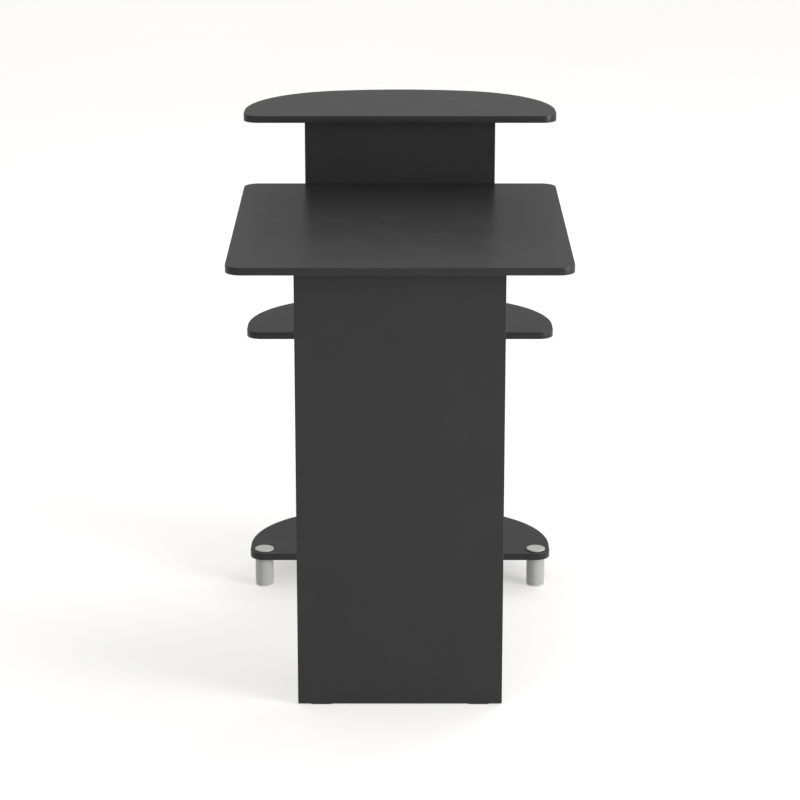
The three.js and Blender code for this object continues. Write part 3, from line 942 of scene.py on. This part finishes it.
def slide_pieces(end, towards):
    low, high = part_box("outer_rail_" + end)
    wall_x = low.x if towards > 0 else high.x
    tray_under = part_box("keyboard_tray")[0].z
    outer_rail_piece(end, towards, wall_x, tray_under)
    inner_rail_piece(end, towards, wall_x, tray_under)
    roller_piece("front_roller_" + end)
    roller_piece("rear_roller_" + end)
    axle_piece("front_axle_" + end, "frame", towards)
    axle_piece("rear_axle_" + end, "tray", -towards)


def roller_piece(name):
    """A nylon roller with a shouldered hub and a shallow dish in each face."""
    low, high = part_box(name)
    radius = (high.z - low.z) / 2
    half = (high.x - low.x) / 2
    bore, hub = AXLE_HOLE_RADIUS, ROLLER_HUB_RADIUS
    rim, bottom = radius - ROLLER_RIM, half - ROLLER_DISH
    profile = rounded([
        (bore, 0),
        (bore, -half),
        (hub, -half),
        (hub + DISH_SLOPE, -bottom),
        (rim - DISH_SLOPE, -bottom),
        (rim, -half),
        (radius, -half),
        (radius, half),
        (rim, half),
        (rim - DISH_SLOPE, bottom),
        (hub + DISH_SLOPE, bottom),
        (hub, half),
        (bore, half),
        (bore, 0.01 * MM),
    ], 0.4 * MM, steps=3)
    piece = turned(name + "_nylon", profile, NYLON, sides=72)
    piece.matrix_world = Matrix.Translation(middle_of(name)) @ aligned(X_AXIS)
    finish_piece(piece, name, name)


def axle_piece(name, body, way):
    """A riveted axle with a domed head past its roller."""
    low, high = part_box(name)
    length = high.x - low.x
    head, radius, neck_end = AXLE_HEAD_RADIUS, AXLE_RADIUS, length - AXLE_HEAD_DEPTH
    profile = rounded([
        (0, 0),
        (radius, 0),
        (radius, neck_end),
        (head, neck_end),
        (head * 0.96, length - 0.35 * MM),
        (head * 0.5, length - 0.03 * MM),
        (0, length),
    ], 0.2 * MM, steps=3)
    piece = turned(name + "_rivet", profile, ZINC, sides=40)
    root = middle_of(name)
    root.x = low.x if way > 0 else high.x
    piece.matrix_world = Matrix.Translation(root) @ aligned(vec(x=way))
    finish_piece(piece, body, name)


# ---------------------------------------------------------------- bolts and dowels

# Bolt sizes are in mm. The head's points are (radius, height) from the cam's axis: the ball that the cam
# grips, its neck, and the start of the shank.
BOLT_HEAD_END = 2.4
BOLT_SHANK = 2.6
BOLT_HEAD = [
    (0, -BOLT_HEAD_END),
    (2.6, -BOLT_HEAD_END),
    (3.2, -1.7),
    (3.2, 0.9),
    (1.9, 1.7),
    (1.9, 4.6),
    (BOLT_SHANK, 5.3),
]
BOLT_REACH = 8  # past the joint, into the mate
BOLT_CORE, BOLT_CREST = 1.95, 2.5
RIDGE_PITCH = 1.6
DOWEL_FLUTES = 20
POINTS_PER_FLUTE = 6
DOWEL_FLUTE_DEPTH = 0.25 * MM
DOWEL_CHAMFER = 1 * MM


def bolt_piece(name, way):
    """A cam bolt whose ridged end bites into the mate's pilot hole."""
    edge = CAM_SETBACK / MM
    tip = edge + BOLT_REACH
    profile = [*BOLT_HEAD, (BOLT_SHANK, edge - 0.6), (BOLT_CORE, edge)]
    ridge = edge + 0.6
    while ridge + RIDGE_PITCH < tip:
        profile += [(BOLT_CORE, ridge), (BOLT_CREST, ridge + 0.4)]
        profile += [(BOLT_CREST, ridge + 0.6), (BOLT_CORE, ridge + 1)]
        ridge += RIDGE_PITCH
    profile += [(BOLT_CORE, tip - 0.8), (1.0, tip), (0, tip)]
    piece = turned(name + "_zinc", [(r * MM, h * MM) for r, h in profile], ZINC, sides=32)
    root = middle_of(name) - way * ((tip + BOLT_HEAD_END) / 2 - BOLT_HEAD_END) * MM
    piece.matrix_world = Matrix.Translation(root) @ aligned(way)
    finish_piece(piece, "frame", name)


def double_bolt_piece(name):
    """A bolt with a head at each end, through the middle shelf, for the panels above and below it."""
    low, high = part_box(name)
    reach = (high.z - low.z) / 2 / MM - BOLT_HEAD_END
    lower = [(r, h - reach) for r, h in BOLT_HEAD]
    profile = lower + [(r, -h) for r, h in reversed(lower)]
    piece = turned(name + "_zinc", [(r * MM, h * MM) for r, h in profile], ZINC, sides=32)
    piece.matrix_world = Matrix.Translation(middle_of(name))
    finish_piece(piece, "frame", name)


def dowel_piece(name):
    """A fluted beech dowel along X."""
    low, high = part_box(name)
    radius, half = (high.z - low.z) / 2, (high.x - low.x) / 2
    middle = middle_of(name)
    sides = POINTS_PER_FLUTE * DOWEL_FLUTES
    full = half - DOWEL_CHAMFER
    rings = []
    for along, inset in ((-half, DOWEL_CHAMFER), (-full, 0), (full, 0), (half, DOWEL_CHAMFER)):
        ring = []
        for i in range(sides):
            turn = 2 * math.pi * i / sides
            flute = DOWEL_FLUTE_DEPTH * (1 - math.cos(DOWEL_FLUTES * turn)) / 2
            out = radius - inset - flute
            ring.append(middle + Vector((along, out * math.cos(turn), out * math.sin(turn))))
        rings.append(ring)
    finish_piece(lofted(name + "_beech", rings, BEECH), "frame", name)


# ---------------------------------------------------------------- assembly

HOLES = drillings()
rectangular_board("desktop", FLAT, DESKTOP_CORNER, "frame", HOLES["desktop"])
rectangular_board("keyboard_tray", FLAT, TRAY_CORNER, "tray", [])
for panel in ("end_panel", "upper_centre_panel", "lower_centre_panel"):
    rectangular_board(panel, UPRIGHT_ALONG_Y, PANEL_CORNER, "frame", HOLES[panel])
rectangular_board("modesty_panel", UPRIGHT_ALONG_X, PANEL_CORNER, "frame", HOLES["modesty_panel"])
for shelf in ("top_shelf", "middle_shelf", "bottom_shelf"):
    shelf_board(shelf, HOLES[shelf])
for foot in FEET:
    foot_pieces(foot)
for side in SIDES:
    glide_pieces(side)
for cam, (_, _, bolt, face) in all_cams():
    cam_piece(cam, bolt, face)
for end, towards in ENDS:
    slide_pieces(end, towards)
for joint, (_, mate, way, _) in CAM_JOINTS.items():
    if mate != "middle_shelf":
        for side in SIDES:
            bolt_piece(f"bolt_{joint}_{side}", way)
for joint, (_, _, way, _) in MODESTY_JOINTS.items():
    bolt_piece(f"bolt_{joint}", way)
    dowel_piece(f"dowel_{joint}")
for side in SIDES:
    double_bolt_piece(f"bolt_middle_shelf_{side}")


# ---------------------------------------------------------------- floor, light and camera


def make_floor():
    """A plain pale floor that glows with its own colour: painted light that lifts the shadows on it."""
    half = FLOOR_HALF
    corners = [(-half, -half, 0), (half, -half, 0), (half, half, 0), (-half, half, 0)]
    material = shader_material("floor", roughness=0.9, ior=1.2)
    place = object_coordinates(material)
    cloud = noise(material, place, 0.8, detail=2)
    tone = ramp(material, cloud, "Fac", [
        (0.3, (0.448, 0.445, 0.441)),
        (0.7, (0.456, 0.453, 0.449)),
    ])
    to_shader(material, tone, "Color", "Base Color")
    # Painted light: the floor's own colour also glows, which lifts the shadows cast on it.
    to_shader(material, tone, "Color", "Emission Color")
    material.node_tree.nodes["Principled BSDF"].inputs["Emission Strength"].default_value = FLOOR_GLOW
    floor = mesh_object("floor", corners, [(0, 1, 2, 3)], material)


def make_world():
    """White studio walls, seen plain. Their light comes from overhead, and from high on the far side."""
    world = bpy.data.worlds.new("studio")
    bpy.context.scene.world = world
    world.use_nodes = True
    world.node_tree.nodes.clear()
    place = node(world, "ShaderNodeTexCoord")
    split = node(world, "ShaderNodeSeparateXYZ")
    link(world, place, "Generated", split, "Vector")
    near = ramp(world, split, "Z", [(0.0, 0.34), (0.2, 0.36), (0.5, 0.68), (1.0, 1.4)])
    far = ramp(world, split, "Z", [(0.0, 0.32), (0.45, 0.42), (0.72, 1.9), (1.0, 1.4)])
    sides = node(world, "ShaderNodeMix", data_type="RGBA")
    link(world, split, "X", sides, "Factor")
    link(world, near, "Color", sides, "A")
    link(world, far, "Color", sides, "B")
    light = node(world, "ShaderNodeBackground")
    link(world, sides, "Result", light, "Color")
    seen = node(world, "ShaderNodeBackground", Color=(1, 1, 1, 1))
    path = node(world, "ShaderNodeLightPath")
    mix = node(world, "ShaderNodeMixShader")
    link(world, path, "Is Camera Ray", mix, "Fac")
    link(world, light, "Background", mix, 1)
    link(world, seen, "Background", mix, 2)
    output = node(world, "ShaderNodeOutputWorld")
    link(world, mix, "Shader", output, "Surface")


def make_light(name, place, target, size, power):
    data = bpy.data.lights.new(name, "AREA")
    data.shape = "DISK"
    data.size = size
    data.energy = power
    lamp = bpy.data.objects.new(name, data)
    bpy.context.scene.collection.objects.link(lamp)
    lamp.location = place
    lamp.rotation_mode = "QUATERNION"
    lamp.rotation_quaternion = (Vector(target) - Vector(place)).to_track_quat("-Z", "Y")


def make_camera():
    data = bpy.data.cameras.new("camera")
    data.sensor_width = CAMERA_SENSOR
    data.lens = CAMERA_LENS
    data.clip_start = 0.05
    data.clip_end = 60
    camera = bpy.data.objects.new("camera", data)
    bpy.context.scene.collection.objects.link(camera)
    camera.location = (CAMERA_X, 0, CAMERA_Z)
    camera.rotation_euler = (math.pi / 2 - CAMERA_TILT, 0, -math.pi / 2)
    bpy.context.scene.camera = camera


make_floor()
make_world()
for light_name, (place, target, size, power) in LIGHTS.items():
    make_light(light_name, place, target, size, power)
make_camera()
bpy.context.scene.view_settings.view_transform = "Standard"
bpy.context.scene.view_settings.look = "None"
